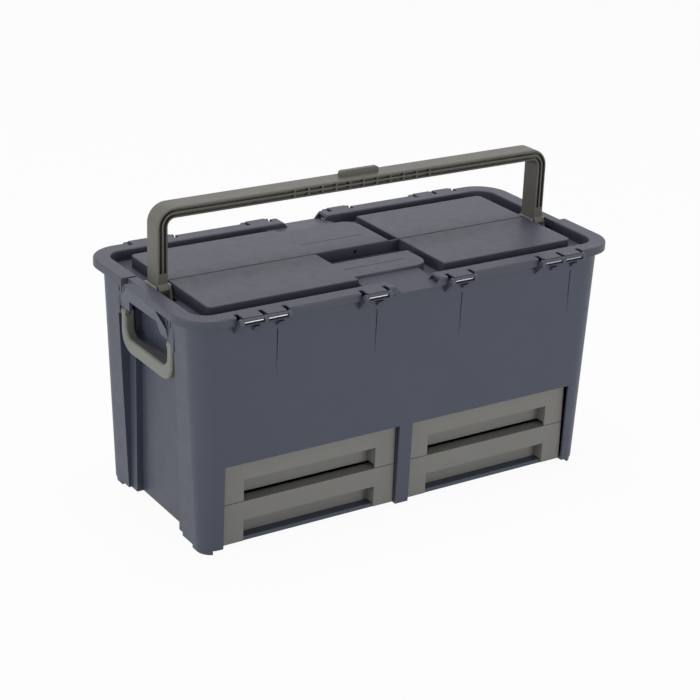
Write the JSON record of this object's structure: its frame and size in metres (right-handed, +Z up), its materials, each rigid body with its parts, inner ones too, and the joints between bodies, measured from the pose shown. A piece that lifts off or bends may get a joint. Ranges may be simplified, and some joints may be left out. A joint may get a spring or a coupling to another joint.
{
  "type": "tool case",
  "caption": "Long plastic tool case with two hinged top lids, a fold-down carry handle, swinging side grips and small-parts drawers in its lower front.",
  "frame": {"origin": "centre of the case's footprint, on the floor under its feet", "axes": "+X along the case to its right end, +Y from the front with the drawers to the rear, +Z up"},
  "size_m": [0.6274, 0.307, 0.416],
  "materials": {
    "body": "fine-grained moulding, slate blue",
    "lid": "fine-grained moulding, slate blue",
    "drawer": "smooth satin moulding, warm grey",
    "handle": "satin moulding, taupe grey",
    "grip": "satin moulding, grey",
    "bracket": "satin moulding, grey",
    "pin": "drawn steel rod"
  },
  "bodies": {
    "case": {"body_front": "body", "body_rear": "body", "body_end_left": "body", "body_end_right": "body", "deck_frame": "body", "base_panel": "body", "handle_bracket_left": "bracket", "handle_bracket_right": "bracket", "handle_pivot_pin_left": "pin", "handle_pivot_pin_right": "pin", "front_hinge_pin_1": "pin", "front_hinge_pin_2": "pin", "front_hinge_pin_3": "pin", "front_hinge_pin_4": "pin", "rear_hinge_pin_1": "pin", "rear_hinge_pin_2": "pin", "rear_hinge_pin_3": "pin", "rear_hinge_pin_4": "pin", "grip_pin_left_front": "pin", "grip_pin_left_rear": "pin", "grip_pin_right_front": "pin", "grip_pin_right_rear": "pin"},
    "front_lid": {"front_lid": "lid"},
    "rear_lid": {"rear_lid": "lid"},
    "carry_handle": {"carry_handle": "handle"},
    "side_grip_left": {"side_grip_left": "grip"},
    "side_grip_right": {"side_grip_right": "grip"},
    "drawer_upper_left": {"drawer_upper_left": "drawer"},
    "drawer_upper_right": {"drawer_upper_right": "drawer"},
    "drawer_lower_left": {"drawer_lower_left": "drawer"},
    "drawer_lower_right": {"drawer_lower_right": "drawer"}
  },
  "joints": [
    {"name": "front_lid_hinge", "type": "hinge", "parent": "case", "child": "front_lid", "pos_m": [0, -0.149, 0.306], "axis": [1, 0, 0], "range_deg": [0, 105]},
    {"name": "rear_lid_hinge", "type": "hinge", "parent": "case", "child": "rear_lid", "pos_m": [0, 0.149, 0.306], "axis": [1, 0, 0], "range_deg": [-105, 0]},
    {"name": "handle_fold", "type": "hinge", "parent": "case", "child": "carry_handle", "pos_m": [0, 0, 0.3069], "axis": [-1, 0, 0], "range_deg": [-76, 76]},
    {"name": "side_grip_left_swing", "type": "hinge", "parent": "case", "child": "side_grip_left", "pos_m": [-0.2915, 0, 0.255], "axis": [0, 1, 0], "range_deg": [0, 90]},
    {"name": "side_grip_right_swing", "type": "hinge", "parent": "case", "child": "side_grip_right", "pos_m": [0.2915, 0, 0.255], "axis": [0, -1, 0], "range_deg": [0, 90]},
    {"name": "drawer_upper_left_slide", "type": "slide", "parent": "case", "child": "drawer_upper_left", "axis": [0, -1, 0], "range_m": [0, 0.175]},
    {"name": "drawer_upper_right_slide", "type": "slide", "parent": "case", "child": "drawer_upper_right", "axis": [0, -1, 0], "range_m": [0, 0.175]},
    {"name": "drawer_lower_left_slide", "type": "slide", "parent": "case", "child": "drawer_lower_left", "axis": [0, -1, 0], "range_m": [0, 0.175]},
    {"name": "drawer_lower_right_slide", "type": "slide", "parent": "case", "child": "drawer_lower_right", "axis": [0, -1, 0], "range_m": [0, 0.175]}
  ]
}
